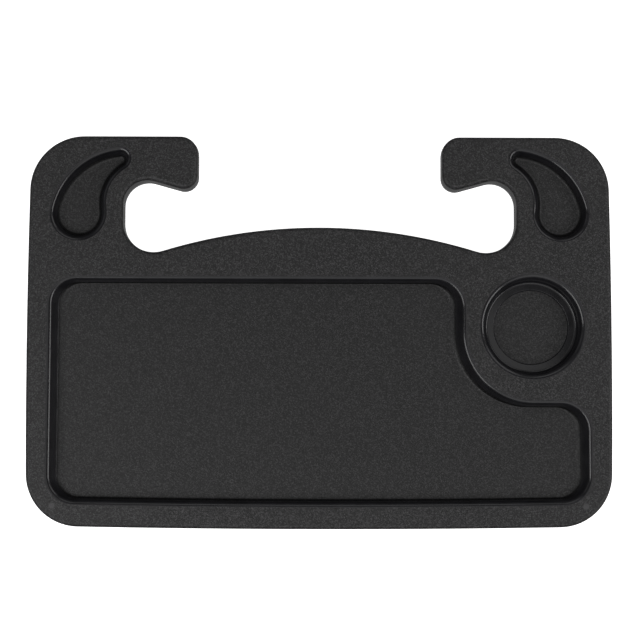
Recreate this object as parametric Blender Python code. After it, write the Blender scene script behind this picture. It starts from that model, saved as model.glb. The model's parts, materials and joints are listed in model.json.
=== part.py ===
"""A two-sided tray that hangs on a steering wheel: food side up (+Z), laptop side down, hooks towards +Y.

Two formed plastic shells meet at a lap joint halfway up the tray's edge. The front shell holds the food
recess, the cup well and the two small pockets. The back shell holds the laptop panel and the pen groove.
Between them lie the bead of adhesive that joins them and the foam pads that carry the floors.

Units are metres. The origin is under the middle of the tray's box, on the surface it lies on.
"""

import math
from collections import namedtuple

import bmesh
import bpy

MM = 0.001

# Overall size, and the two shells' sheet
LENGTH = 420 * MM
WIDTH = 282.5 * MM
THICKNESS = 20 * MM
WALL = 2.2 * MM
FIT_GAP = 0.3 * MM
EDGE_RADIUS = 3 * MM
DRAFT_ANGLE = math.radians(3)

# Outer edge: corners and the slight outward bow of the sides and the bottom
SIDE_BOW_RADIUS = 6200 * MM
BOTTOM_BOW_RADIUS = 9400 * MM
TOP_CORNER_RADIUS = 39.5 * MM
BOTTOM_CORNER_RADIUS = 38.3 * MM

# Hooks: an arm at each side, whose tip reaches inwards over the wheel's rim
ARM_WIDTH = 68.7 * MM
HOOK_OVERHANG = 53.5 * MM
HOOK_ROOF = 32.8 * MM
HOOK_LIP = 6.2 * MM
THROAT_HEIGHT = 51.3 * MM
TIP_TOP_RADIUS = 13.2 * MM
TIP_LOW_RADIUS = 10.6 * MM
THROAT_TOP_RADIUS = 17 * MM
THROAT_LOW_RADIUS = 21.8 * MM
ARCH_RADIUS = 382 * MM

# Food recess
SIDE_BORDER = 17.2 * MM
BOTTOM_BORDER = 16.2 * MM
TOP_BORDER = 18.1 * MM
RECESS_TOP_RADIUS = 19 * MM
RECESS_LOW_RADIUS = 20 * MM
RECESS_INNER_RADIUS = 21.6 * MM
LEG_RADIUS = 21 * MM
RIM_RADIUS = 2.2 * MM
FLOOR_RADIUS = 4 * MM
RECESS_TOP_RUN = 4.1 * MM
RECESS_SIDE_RUN = 9.2 * MM
RECESS_LOW_RUN = 6.6 * MM
FLOOR_PAD_HEIGHT = 5.3 * MM

# Cup well and the round island of border that it stands in
CUP_RADIUS = 36.4 * MM
CUP_SIDE_BORDER = 20.7 * MM
CUP_RISE = 1.2 * MM
CUP_RIM_RADIUS = 2 * MM
CUP_COVE_RADIUS = 6.6 * MM
CUP_STEP = 0.6 * MM
CUP_STEP_RUN = 0.4 * MM
CUP_PAD_HEIGHT = 0.7 * MM
CUP_PAD_INSET = 7 * MM
ISLAND_BORDER = 13.2 * MM
ISLAND_DROP = 3.9 * MM

# Teardrop pockets in the arms
POCKET_OUTER_MARGIN = 17.8 * MM
POCKET_INNER_MARGIN = 14 * MM
POCKET_DROP = 56 * MM
POCKET_OUTER_RADIUS = 54 * MM
POCKET_TIP_RADIUS = 8 * MM
POCKET_TIP_DROP = 16.9 * MM
POCKET_TIP_SHIFT = 3.2 * MM
POCKET_RUN = 5.8 * MM
POCKET_PAD_SHARE = 0.45

# Lap joint: a lip on the back shell stands inside the front shell's wall
LIP_THICKNESS = 1.5 * MM
LIP_HEIGHT_SHARE = 0.5
LIP_ROOT_SHARE = 0.43
BEAD_HEIGHT_SHARE = 0.24

# Laptop panel and pen groove in the back
PANEL_DEPTH = 1.2 * MM
PANEL_MARGIN = 20 * MM
PANEL_RADIUS = 18 * MM
PANEL_RUN = 1.2 * MM
PEN_LENGTH = 110 * MM
PEN_WIDTH = 10 * MM
PEN_DEPTH = 5 * MM
PEN_RUN = 1.2 * MM
PEN_MARGIN = 10.8 * MM

# Foam pads under the food floor
PAD_LENGTH = 46 * MM
PAD_WIDTH = 26 * MM
PAD_RADIUS = 3 * MM
PAD_COLUMN_SHARES = (0.18, 0.5, 0.82)
PAD_ROW_SHARES = (0.24, 0.76)

# How finely round shapes are cut into flats, and how far a cutter reaches past what it cuts
CHORD_ERROR = 0.3 * MM
SMALLEST_STEP = 0.01 * MM
OVERRUN = 2 * MM
ROUND_STEPS = 3
FILLET_SHARE = 0.46
TIP_LIMIT_SHARE = 0.2
THROAT_LIMIT_SHARE = 0.43
RUN_LIMIT_SHARE = 0.85
RIM_DEPTH_SHARE = 0.3
FLOOR_DEPTH_SHARE = 0.5
WALL_RUN_SHARE = 0.3

Curve = namedtuple("Curve", "x y radius")
Flat = namedtuple("Flat", "x y normal_x normal_y")
Finish = namedtuple("Finish", "colour roughness")

SHELL_FINISH = Finish((0.022, 0.021, 0.022), 0.55)
BEAD_FINISH = Finish((0.30, 0.28, 0.24), 0.5)
FOAM_FINISH = Finish((0.05, 0.05, 0.055), 0.95)

# Places worked out from the sizes
HALF_LENGTH = LENGTH / 2
HALF_WIDTH = WIDTH / 2
SEAM_Z = THICKNESS / 2
THROAT_X = HALF_LENGTH - ARM_WIDTH
THROAT_TOP = HALF_WIDTH - HOOK_ROOF
THROAT_FLOOR = THROAT_TOP - THROAT_HEIGHT
TIP_X = THROAT_X - HOOK_OVERHANG
TIP_LOW = THROAT_TOP - HOOK_LIP
RECESS_TOP = THROAT_FLOOR - TOP_BORDER
CUP_X = HALF_LENGTH - CUP_SIDE_BORDER - CUP_RADIUS
CUP_Y = RECESS_TOP + CUP_RISE - CUP_RADIUS
ISLAND_RADIUS = CUP_RADIUS + ISLAND_BORDER
ISLAND_Y = CUP_Y - ISLAND_DROP
PANEL_INNER_Z = PANEL_DEPTH + WALL
FLOOR_Z = PANEL_INNER_Z + FLOOR_PAD_HEIGHT + 2 * FIT_GAP + WALL
CUP_FLOOR_Z = PANEL_INNER_Z + CUP_PAD_HEIGHT + 2 * FIT_GAP + WALL
CUP_DEPTH = THICKNESS - CUP_FLOOR_Z
INNER_RADIUS = EDGE_RADIUS - WALL / 2
EDGE_ROOM = SEAM_Z - WALL - INNER_RADIUS
LIP_OUTER = WALL + FIT_GAP
LIP_INNER = LIP_OUTER + LIP_THICKNESS
LIP_Z = SEAM_Z + EDGE_ROOM * LIP_HEIGHT_SHARE


def within(value, limit):
    """Holds a ratio between minus and plus one, so that touching curves give a clean angle."""
    return max(-limit, min(limit, value))


def touching_angle(first, second):
    """The outward direction on the straight line that touches both curves."""
    apart = math.hypot(second.x - first.x, second.y - first.y)
    lean = math.acos(within((first.radius - second.radius) / apart, 1))
    return math.atan2(second.y - first.y, second.x - first.x) - lean


def arc_steps(radius, sweep):
    """How many flats an arc needs to stay within the chord error, in pairs so that one joint is its middle."""
    ratio = within(1 - CHORD_ERROR / abs(radius), 1)
    return 2 * max(1, math.ceil(abs(sweep) / (4 * math.acos(ratio))))


def outline(curves):
    """A closed line round the curves, anticlockwise. A curve of negative radius is hollow."""
    flats = []
    for before, here, after in zip(curves[-1:] + curves[:-1], curves, curves[1:] + curves[:1]):
        start = touching_angle(before, here)
        sweep = (touching_angle(here, after) - start) % math.tau
        if here.radius < 0:
            sweep -= math.tau
        steps = arc_steps(here.radius, sweep)
        for step in range(steps + 1):
            angle = start + sweep * step / steps
            across, along = math.cos(angle), math.sin(angle)
            x, y = here.x + here.radius * across, here.y + here.radius * along
            if not flats or math.hypot(x - flats[-1].x, y - flats[-1].y) > SMALLEST_STEP:
                flats.append(Flat(x, y, across, along))
    if math.hypot(flats[0].x - flats[-1].x, flats[0].y - flats[-1].y) <= SMALLEST_STEP:
        flats.pop()
    return flats


def round_outline(x, y, radius):
    """A circle as an outline."""
    steps = arc_steps(radius, math.tau)
    angles = [math.tau * step / steps for step in range(steps)]
    return [Flat(x + radius * math.cos(a), y + radius * math.sin(a), math.cos(a), math.sin(a)) for a in angles]


def meeting_point(first, first_reach, second, second_reach):
    """The point at these distances from two curves' centres, on the left of the way between them."""
    apart_x, apart_y = second.x - first.x, second.y - first.y
    apart = math.hypot(apart_x, apart_y)
    along = (apart ** 2 + first_reach ** 2 - second_reach ** 2) / (2 * apart)
    aside = math.sqrt(max(first_reach ** 2 - along ** 2, 0))
    x = first.x + (along * apart_x - aside * apart_y) / apart
    y = first.y + (along * apart_y + aside * apart_x) / apart
    return x, y


def mirrored(curves):
    """The same curves on the other side of the tray, still anticlockwise."""
    return [Curve(-curve.x, curve.y, curve.radius) for curve in reversed(curves)]


def fillet(radius, room):
    """A corner's radius, limited by the room that its walls leave it."""
    return min(radius, room * FILLET_SHARE)


def hook_curves():
    """The right hook's curves: the tip's two corners, then the throat's hollow top and bottom."""
    tip_top = fillet(TIP_TOP_RADIUS, HOOK_OVERHANG)
    tip_low = min(TIP_LOW_RADIUS, HOOK_OVERHANG * TIP_LIMIT_SHARE)
    throat_room = min(THROAT_HEIGHT, HOOK_OVERHANG) * THROAT_LIMIT_SHARE
    throat_top = min(THROAT_TOP_RADIUS, throat_room)
    throat_low = min(THROAT_LOW_RADIUS, THROAT_HEIGHT * THROAT_LIMIT_SHARE)
    return [
        Curve(TIP_X + tip_top, HALF_WIDTH - tip_top, tip_top),
        Curve(TIP_X + tip_low, TIP_LOW + tip_low, tip_low),
        Curve(THROAT_X - throat_top, THROAT_TOP - throat_top, -throat_top),
        Curve(THROAT_X - throat_low, THROAT_FLOOR + throat_low, -throat_low),
    ]


def tray_outline():
    """The tray's outer edge at the seam: corners, hooks, throats and the arch between the hooks."""
    side = Curve(HALF_LENGTH - SIDE_BOW_RADIUS, 0, SIDE_BOW_RADIUS)
    bottom = Curve(0, BOTTOM_BOW_RADIUS - HALF_WIDTH, BOTTOM_BOW_RADIUS)
    bottom_reach = BOTTOM_BOW_RADIUS - BOTTOM_CORNER_RADIUS
    side_reach = SIDE_BOW_RADIUS - BOTTOM_CORNER_RADIUS
    low_x, low_y = meeting_point(bottom, bottom_reach, side, side_reach)
    top_radius = fillet(TOP_CORNER_RADIUS, ARM_WIDTH + HOOK_OVERHANG)
    top_y = HALF_WIDTH - top_radius
    top_x = side.x + math.sqrt((SIDE_BOW_RADIUS - top_radius) ** 2 - top_y ** 2)
    low_corner = Curve(low_x, low_y, BOTTOM_CORNER_RADIUS)
    right = [low_corner, side, Curve(top_x, top_y, top_radius)] + hook_curves()
    throat = right[-1]
    arch_y = throat.y - math.sqrt((ARCH_RADIUS - throat.radius) ** 2 - throat.x ** 2)
    return outline([bottom] + right + [Curve(0, arch_y, ARCH_RADIUS)] + mirrored(right))


def food_curves():
    """The rim of the food recess: a wide field on the left and a leg that runs under the cup's island."""
    side_x = HALF_LENGTH - SIDE_BORDER
    bottom_y = BOTTOM_BORDER - HALF_WIDTH
    shelf_y = ISLAND_Y - ISLAND_RADIUS
    low_radius = fillet(RECESS_LOW_RADIUS, shelf_y - bottom_y)
    leg_radius = fillet(LEG_RADIUS, shelf_y - bottom_y)
    inner_radius = fillet(RECESS_INNER_RADIUS, RECESS_TOP - bottom_y)
    bow = Curve(0, BOTTOM_BOW_RADIUS - HALF_WIDTH, BOTTOM_BOW_RADIUS - BOTTOM_BORDER)
    low_x = side_x - low_radius
    low_y = bow.y - math.sqrt((bow.radius - low_radius) ** 2 - low_x ** 2)
    return [
        bow,
        Curve(low_x, low_y, low_radius),
        Curve(side_x - leg_radius, shelf_y - leg_radius, leg_radius),
        Curve(CUP_X, ISLAND_Y, -ISLAND_RADIUS),
        Curve(CUP_X - ISLAND_RADIUS - inner_radius, RECESS_TOP - inner_radius, inner_radius),
        Curve(RECESS_TOP_RADIUS - side_x, RECESS_TOP - RECESS_TOP_RADIUS, RECESS_TOP_RADIUS),
        Curve(-low_x, low_y, low_radius),
    ]


def pocket_curves():
    """The right pocket's rim: a round end, a bowed back, a small tip and a hollow front along the throat."""
    radius = (ARM_WIDTH - POCKET_OUTER_MARGIN - POCKET_INNER_MARGIN) / 2
    end = Curve(THROAT_X + POCKET_INNER_MARGIN + radius, HALF_WIDTH - POCKET_DROP, radius)
    tip = Curve(THROAT_X + POCKET_TIP_SHIFT, HALF_WIDTH - POCKET_TIP_DROP, POCKET_TIP_RADIUS)
    back_reach = (POCKET_OUTER_RADIUS - end.radius, POCKET_OUTER_RADIUS - tip.radius)
    hollow = THROAT_TOP_RADIUS + POCKET_INNER_MARGIN
    hollow_reach = (hollow + end.radius, hollow + tip.radius)
    back_x, back_y = meeting_point(end, back_reach[0], tip, back_reach[1])
    hollow_x, hollow_y = meeting_point(end, hollow_reach[0], tip, hollow_reach[1])
    return [end, Curve(back_x, back_y, POCKET_OUTER_RADIUS), tip, Curve(hollow_x, hollow_y, -hollow)]


def panel_outline():
    """The laptop panel: a plain rounded rectangle below the arch."""
    side_x = HALF_LENGTH - PANEL_MARGIN - PANEL_RADIUS
    top_y = RECESS_TOP - PANEL_RADIUS
    bottom_y = PANEL_MARGIN - HALF_WIDTH + PANEL_RADIUS
    corners = ((side_x, bottom_y), (side_x, top_y), (-side_x, top_y), (-side_x, bottom_y))
    return outline([Curve(x, y, PANEL_RADIUS) for x, y in corners])


def pen_outline():
    """The pen groove's rim: a slot between the laptop panel and the arch."""
    end_radius = PEN_WIDTH / 2
    end_x = PEN_LENGTH / 2 - end_radius
    y = RECESS_TOP + PEN_MARGIN
    return outline([Curve(end_x, y, end_radius), Curve(-end_x, y, end_radius)])


def rounded(radius_across, radius_down, sweep=math.pi / 2):
    """Steps round a convex edge, from flat to steep, as inward and downward distances."""
    angles = [sweep * step / ROUND_STEPS for step in range(ROUND_STEPS + 1)]
    return [(radius_across * math.sin(a), radius_down * (1 - math.cos(a))) for a in angles]


def shoulder_profile(reach):
    """The outer edge from the seam to the face, as outward offsets and heights above the seam."""
    draft = math.tan(DRAFT_ANGLE) * (reach - EDGE_RADIUS)
    bend = [(across - EDGE_RADIUS - draft, reach - down) for across, down in rounded(EDGE_RADIUS, EDGE_RADIUS)]
    return [(0, 0)] + bend[::-1]


def hollow_profile(reach):
    """The inner face of the same edge, one wall inwards, as outward offsets and heights above the seam."""
    draft = math.tan(DRAFT_ANGLE) * (reach - EDGE_RADIUS)
    height = reach - WALL
    side = -WALL - draft
    return [(-WALL, 0), (side, height - INNER_RADIUS), (side - INNER_RADIUS, height)]


def basin_profile(depth, extra=0):
    """A recess's wall from rim to floor: an inward fixed part, an inward share of its run, and a depth.

    With an extra thickness it gives the outer face of that wall, one sheet outside.
    """
    rim = min(RIM_RADIUS, depth * RIM_DEPTH_SHARE)
    foot = min(FLOOR_RADIUS, depth * FLOOR_DEPTH_SHARE)
    levels = [(across - extra, 0, down) for across, down in rounded(rim, rim)]
    for across, down in rounded(1, foot)[::-1]:
        share = WALL_RUN_SHARE + (1 - WALL_RUN_SHARE) * (1 - across)
        levels.append((rim - extra, share, depth - down))
    return levels


def run_at(flat, side_run, top_run, low_run):
    """How far a recess's wall leans in, which differs between its sides, its top and its bottom."""
    end_run = top_run if flat.normal_y > 0 else low_run
    return side_run * flat.normal_x ** 2 + end_run * flat.normal_y ** 2


def ring(flats, offset, z):
    """One level of a loft: the outline moved outwards by an offset, at a height."""
    return [(flat.x + flat.normal_x * offset, flat.y + flat.normal_y * offset, z) for flat in flats]


def basin_rings(curves, depth, runs, extra=0):
    """The levels of a recess cutter, from past the food face down to the floor."""
    flats = outline(curves)
    rim = min(RIM_RADIUS, depth * RIM_DEPTH_SHARE)
    widest_run = RUN_LIMIT_SHARE * min(curve.radius for curve in curves if curve.radius > 0)
    rings = [ring(flats, extra, THICKNESS + OVERRUN)]
    for fixed, share, down in basin_profile(depth, extra):
        z = THICKNESS - down - extra
        level = []
        for flat in flats:
            run = min(run_at(flat, *runs), widest_run)
            offset = -fixed - share * max(run - rim, 0)
            level.append((flat.x + flat.normal_x * offset, flat.y + flat.normal_y * offset, z))
        rings.append(level)
    return rings


def add_loft(mesh, rings):
    """Adds a closed body to a mesh: levels joined side by side, with a flat face at each end."""
    levels = [[mesh.verts.new(point) for point in level] for level in rings]
    count = len(levels[0])
    for lower, upper in zip(levels, levels[1:]):
        for i in range(count):
            j = (i + 1) % count
            mesh.faces.new((lower[i], lower[j], upper[j], upper[i]))
    mesh.faces.new(levels[0][::-1])
    mesh.faces.new(levels[-1])


def add_band(mesh, outer, inner):
    """Adds a closed ring to a mesh: each loop holds a lower and an upper level, outside and inside."""
    levels = [[mesh.verts.new(point) for point in level] for level in (outer[0], outer[1], inner[1], inner[0])]
    count = len(levels[0])
    for near, far in zip(levels, levels[1:] + levels[:1]):
        for i in range(count):
            j = (i + 1) % count
            mesh.faces.new((near[i], near[j], far[j], far[i]))


def new_material(name, finish):
    """A plain material with the piece's colour and roughness."""
    material = bpy.data.materials.new(name)
    material.use_nodes = True
    shader = material.node_tree.nodes["Principled BSDF"]
    shader.inputs["Base Color"].default_value = (*finish.colour, 1)
    shader.inputs["Roughness"].default_value = finish.roughness
    shader.inputs["Metallic"].default_value = 0
    return material


def new_object(name, build, finish=None):
    """Makes an object from a function that fills a mesh, with its faces out and its round parts smooth."""
    mesh = bmesh.new()
    build(mesh)
    bmesh.ops.recalc_face_normals(mesh, faces=mesh.faces)
    data = bpy.data.meshes.new(name)
    mesh.to_mesh(data)
    mesh.free()
    data.shade_smooth()
    data.set_sharp_from_angle(angle=math.radians(30))
    piece = bpy.data.objects.new(name, data)
    bpy.context.scene.collection.objects.link(piece)
    if finish:
        data.materials.append(new_material(name, finish))
    return piece


def cut(piece, cutter):
    """Takes the cutter's shape out of a piece, and hides the cutter."""
    cutter.hide_render = True
    cutter.display_type = "WIRE"
    modifier = piece.modifiers.new("cut_" + cutter.name, "BOOLEAN")
    modifier.operation = "DIFFERENCE"
    modifier.solver = "EXACT"
    modifier.object = cutter


def cup_rings(extra=0):
    """The cup well: a round rim, a steep wall, a deep cove and a floor one small step lower."""
    draft = math.tan(DRAFT_ANGLE) * CUP_DEPTH
    levels = [(across, down) for across, down in rounded(CUP_RIM_RADIUS, CUP_RIM_RADIUS)]
    foot = CUP_RIM_RADIUS + draft
    for across, down in rounded(CUP_COVE_RADIUS, CUP_COVE_RADIUS)[::-1]:
        levels.append((foot + CUP_COVE_RADIUS - across, CUP_DEPTH - CUP_STEP - down))
    if not extra:
        levels.append((foot + CUP_COVE_RADIUS + CUP_STEP_RUN, CUP_DEPTH))
    top = round_outline(CUP_X, CUP_Y, CUP_RADIUS)
    rings = [ring(top, extra, THICKNESS + OVERRUN)]
    sheet = extra + CUP_STEP if extra else 0
    for across, down in levels:
        rings.append(ring(top, extra - across, THICKNESS - down - sheet))
    return rings


def fill_recesses(mesh, extra=0):
    """The recesses of the food side as solids. An extra thickness makes them one sheet larger."""
    depth = THICKNESS - FLOOR_Z
    runs = (RECESS_SIDE_RUN, RECESS_TOP_RUN, RECESS_LOW_RUN)
    add_loft(mesh, basin_rings(food_curves(), depth, runs, extra))
    right_pocket = pocket_curves()
    for curves in (right_pocket, mirrored(right_pocket)):
        add_loft(mesh, basin_rings(curves, depth, (POCKET_RUN,) * 3, extra))
    add_loft(mesh, cup_rings(extra))


def make_front_shell():
    """The food side: an edge wall down to the seam, and a face with its recesses, all one sheet thick.

    The recesses' outer faces reach below the seam, so the body and its hollow both start lower still.
    """
    edge = tray_outline()
    rim_z = SEAM_Z + FIT_GAP / 2
    reach = THICKNESS - rim_z
    low_z = CUP_FLOOR_Z - WALL - OVERRUN
    body = [ring(edge, 0, low_z)]
    body += [ring(edge, offset, rim_z + height) for offset, height in shoulder_profile(reach)]
    inside = [ring(edge, OVERRUN, low_z - OVERRUN), ring(edge, OVERRUN, rim_z)]
    inside += [ring(edge, offset, rim_z + height) for offset, height in hollow_profile(reach)]
    shell = new_object("front_shell", lambda mesh: add_loft(mesh, body), SHELL_FINISH)
    hollow = new_object("front_hollow", lambda mesh: add_loft(mesh, inside))
    basins = new_object("front_basins", lambda mesh: fill_recesses(mesh, WALL))
    recesses = new_object("front_recesses", fill_recesses)
    cut(hollow, basins)
    cut(shell, recesses)
    cut(shell, hollow)
    return shell


def fill_back_cuts(mesh, extra=0):
    """The laptop panel and the pen groove as solids, cut from below."""
    for flats, depth, run in ((panel_outline(), PANEL_DEPTH, PANEL_RUN), (pen_outline(), PEN_DEPTH, PEN_RUN)):
        levels = [ring(flats, extra, -OVERRUN), ring(flats, extra, 0), ring(flats, extra - run, depth + extra)]
        add_loft(mesh, levels)


def make_back_shell():
    """The laptop side: an edge wall up to the seam with a lip inside it, and a panel one sheet thick."""
    edge = tray_outline()
    rim_z = SEAM_Z - FIT_GAP / 2
    root_z = rim_z - EDGE_ROOM * LIP_ROOT_SHARE
    outside = [ring(edge, offset, rim_z - height) for offset, height in reversed(shoulder_profile(rim_z))]
    outside += [ring(edge, -LIP_OUTER, rim_z), ring(edge, -LIP_OUTER, LIP_Z)]
    inside = [ring(edge, offset, rim_z - height) for offset, height in reversed(hollow_profile(rim_z)[1:])]
    inside += [ring(edge, -WALL, root_z - LIP_THICKNESS), ring(edge, -LIP_INNER, root_z)]
    inside += [ring(edge, -LIP_INNER, LIP_Z + OVERRUN)]
    shell = new_object("back_shell", lambda mesh: add_loft(mesh, outside), SHELL_FINISH)
    hollow = new_object("back_hollow", lambda mesh: add_loft(mesh, inside))
    ridges = new_object("back_ridges", lambda mesh: fill_back_cuts(mesh, WALL))
    grooves = new_object("back_grooves", fill_back_cuts)
    cut(hollow, ridges)
    cut(shell, grooves)
    cut(shell, hollow)
    return shell


def make_rim_bond():
    """The bead of adhesive on the lip, in the corner that it makes with the front shell's wall."""
    edge = tray_outline()
    low = LIP_Z + FIT_GAP
    high = low + EDGE_ROOM * BEAD_HEIGHT_SHARE
    draft = math.tan(DRAFT_ANGLE) * (high - SEAM_Z)
    outer = [ring(edge, -LIP_OUTER - draft, z) for z in (low, high)]
    inner = [ring(edge, -LIP_INNER - draft, z) for z in (low, high)]
    return new_object("rim_bond", lambda mesh: add_band(mesh, outer, inner), BEAD_FINISH)


def make_pad(name, flats, low, high):
    """A flat foam pad between two faces, clear of both."""
    levels = [ring(flats, 0, low + FIT_GAP), ring(flats, 0, high - FIT_GAP)]
    return new_object(name, lambda mesh: add_loft(mesh, levels), FOAM_FINISH)


def pad_outline(x, y):
    """A rounded rectangle round a pad's middle."""
    far_x, far_y = PAD_LENGTH / 2 - PAD_RADIUS, PAD_WIDTH / 2 - PAD_RADIUS
    corners = ((far_x, -far_y), (far_x, far_y), (-far_x, far_y), (-far_x, -far_y))
    return outline([Curve(x + across, y + along, PAD_RADIUS) for across, along in corners])


def make_pads():
    """The pads under the food floor, the cup well and the pockets."""
    left, right = SIDE_BORDER - HALF_LENGTH, CUP_X - ISLAND_RADIUS
    bottom, top = BOTTOM_BORDER - HALF_WIDTH, RECESS_TOP
    places = [
        (left + (right - left) * column, bottom + (top - bottom) * row)
        for row in PAD_ROW_SHARES
        for column in PAD_COLUMN_SHARES
    ]
    leg_y = (bottom + ISLAND_Y - ISLAND_RADIUS) / 2
    places.append((CUP_X, leg_y))
    pads = []
    for number, (x, y) in enumerate(places, start=1):
        pads.append(make_pad(f"floor_pad_{number}", pad_outline(x, y), PANEL_INNER_Z, FLOOR_Z - WALL))
    cup = round_outline(CUP_X, CUP_Y, CUP_RADIUS - CUP_RIM_RADIUS - CUP_COVE_RADIUS - CUP_PAD_INSET)
    pads.append(make_pad("cup_pad", cup, PANEL_INNER_Z, CUP_FLOOR_Z - WALL))
    end = pocket_curves()[0]
    for name, x in (("right_pocket_pad", end.x), ("left_pocket_pad", -end.x)):
        disc = round_outline(x, end.y, end.radius * POCKET_PAD_SHARE)
        pads.append(make_pad(name, disc, WALL, FLOOR_Z - WALL))
    return pads


def main():
    """Builds the tray under one empty."""
    for old in list(bpy.data.objects):
        bpy.data.objects.remove(old, do_unlink=True)
    tray = bpy.data.objects.new("steering_wheel_tray", None)
    bpy.context.scene.collection.objects.link(tray)
    for piece in [make_front_shell(), make_back_shell(), make_rim_bond()] + make_pads():
        piece.parent = tray


main()
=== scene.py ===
"""The looks of a steering wheel tray: two moulded shells of grained black plastic on a pale studio floor.

Everything is in metres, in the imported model's frame: +X to the cup's side, +Y to the hooks, +Z up.
The shells are modelled here in full detail and stand for the model's plain ones. The bead of
adhesive and the foam pads between them stay as they are and get their own finishes.
"""

import json
import logging
import math
from collections.abc import Callable, Sequence
from dataclasses import dataclass
from enum import Enum

import bmesh
import bpy
from mathutils import Matrix, Vector

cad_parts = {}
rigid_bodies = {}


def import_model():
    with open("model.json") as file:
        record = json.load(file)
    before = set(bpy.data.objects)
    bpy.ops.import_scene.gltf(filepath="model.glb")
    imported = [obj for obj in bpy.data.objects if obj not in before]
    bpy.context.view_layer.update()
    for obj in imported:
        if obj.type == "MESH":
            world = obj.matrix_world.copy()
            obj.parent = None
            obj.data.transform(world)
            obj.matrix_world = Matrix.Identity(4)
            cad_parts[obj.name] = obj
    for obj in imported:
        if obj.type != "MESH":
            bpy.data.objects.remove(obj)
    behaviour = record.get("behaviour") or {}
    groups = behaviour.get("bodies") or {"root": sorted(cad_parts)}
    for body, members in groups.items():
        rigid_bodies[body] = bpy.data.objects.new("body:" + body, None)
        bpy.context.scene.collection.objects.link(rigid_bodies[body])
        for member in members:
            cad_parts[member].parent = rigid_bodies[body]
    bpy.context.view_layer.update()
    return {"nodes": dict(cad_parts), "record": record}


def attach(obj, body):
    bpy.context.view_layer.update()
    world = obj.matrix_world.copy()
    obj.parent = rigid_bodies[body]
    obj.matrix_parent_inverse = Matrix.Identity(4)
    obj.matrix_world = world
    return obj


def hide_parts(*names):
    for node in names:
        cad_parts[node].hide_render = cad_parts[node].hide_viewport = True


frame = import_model()

LOG = logging.getLogger("steering_wheel_tray")
MM = 0.001
UP = (0.0, 0.0, 1.0)
SPECK = 0.01 * MM
WELD = 0.02 * MM
LEVEL_TOLERANCE = 0.01 * MM
CHORD_ERROR = 0.02 * MM
LEAST_STEP = 0.03 * MM
SHARP_ANGLE = math.radians(32)
NORMAL_WEIGHT = 50
PLASTIC_IOR = 1.5
SURFACE = "Principled BSDF"
UNIT = (0.0, 1.0)
CLOUD_DETAIL = 3.0
CLOUD_SPAN = (0.3, 0.7)

Piece = bpy.types.Object
Socket = bpy.types.NodeSocket
Span = tuple[float, float]
Section = list[tuple[float, float]]
Colour = tuple[float, float, float]


class Slot(Enum):
    """The record's material slots."""

    SHELL = "shell"
    BOND = "bond"
    FOAM = "foam"


class Finish(Enum):
    """The two finishes that the mould gives the plastic, by their place in a shell's material list."""

    SATIN = 0
    GRAINED = 1


FINISHES: dict[Finish, bpy.types.Material] = {}


class Facing(Enum):
    """Which way a shell's broad face looks."""

    FOOD_SIDE = 1
    LAPTOP_SIDE = -1


@dataclass(frozen=True)
class Curve:
    """A round stretch of an outline. A negative radius is hollow."""

    x: float
    y: float
    radius: float

    def mirrored(self) -> "Curve":
        """The same curve on the tray's other side."""
        return Curve(-self.x, self.y, self.radius)

    def grown(self, outward: float) -> "Curve":
        """The curve moved outwards."""
        return Curve(self.x, self.y, self.radius + outward)


@dataclass(frozen=True)
class Arc:
    """The part of a curve that an outline follows, from an angle and through a sweep."""

    curve: Curve
    start: float
    sweep: float

    def point(self, share: float) -> Vector:
        """The point at a share of the arc."""
        angle, reach = self.start + self.sweep * share, self.curve.radius
        return Vector((self.curve.x + reach * math.cos(angle), self.curve.y + reach * math.sin(angle), 0))

    def steps(self) -> int:
        """How many straight pieces keep the arc within the chord error."""
        ratio = max(-1.0, 1 - CHORD_ERROR / abs(self.curve.radius))
        return max(2, math.ceil(abs(self.sweep) / (2 * math.acos(ratio))))


def leaving_angle(first: Curve, second: Curve) -> float:
    """The outward direction on the straight line that touches both curves.

    Args:
        first: The curve that the line leaves.
        second: The curve that the line reaches.

    Returns:
        The direction in radians, from +X.
    """
    apart = math.hypot(second.x - first.x, second.y - first.y)
    lean = math.acos(max(-1.0, min(1.0, (first.radius - second.radius) / apart)))
    return math.atan2(second.y - first.y, second.x - first.x) - lean


def arcs_round(curves: Sequence[Curve]) -> list[Arc]:
    """The arcs that a closed line takes round its curves, anticlockwise.

    Args:
        curves: The outline's curves in order.

    Returns:
        One arc for each curve.
    """
    arcs = []
    for before, here, after in zip([curves[-1], *curves[:-1]], curves, [*curves[1:], curves[0]]):
        start = leaving_angle(before, here)
        sweep = (leaving_angle(here, after) - start) % math.tau
        arcs.append(Arc(here, start, sweep - math.tau if here.radius < 0 else sweep))
    return arcs


def meeting_point(first: Curve, first_reach: float, second: Curve, second_reach: float) -> tuple[float, float]:
    """Where two distances from two curves' centres meet, on the left of the way between them.

    Args:
        first: The first curve.
        first_reach: The distance from its centre.
        second: The second curve.
        second_reach: The distance from its centre.

    Returns:
        The point's x and y.
    """
    apart_x, apart_y = second.x - first.x, second.y - first.y
    apart = math.hypot(apart_x, apart_y)
    along = (apart**2 + first_reach**2 - second_reach**2) / (2 * apart)
    aside = math.sqrt(max(first_reach**2 - along**2, 0))
    x = first.x + (along * apart_x - aside * apart_y) / apart
    return x, first.y + (along * apart_y + aside * apart_x) / apart


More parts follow.
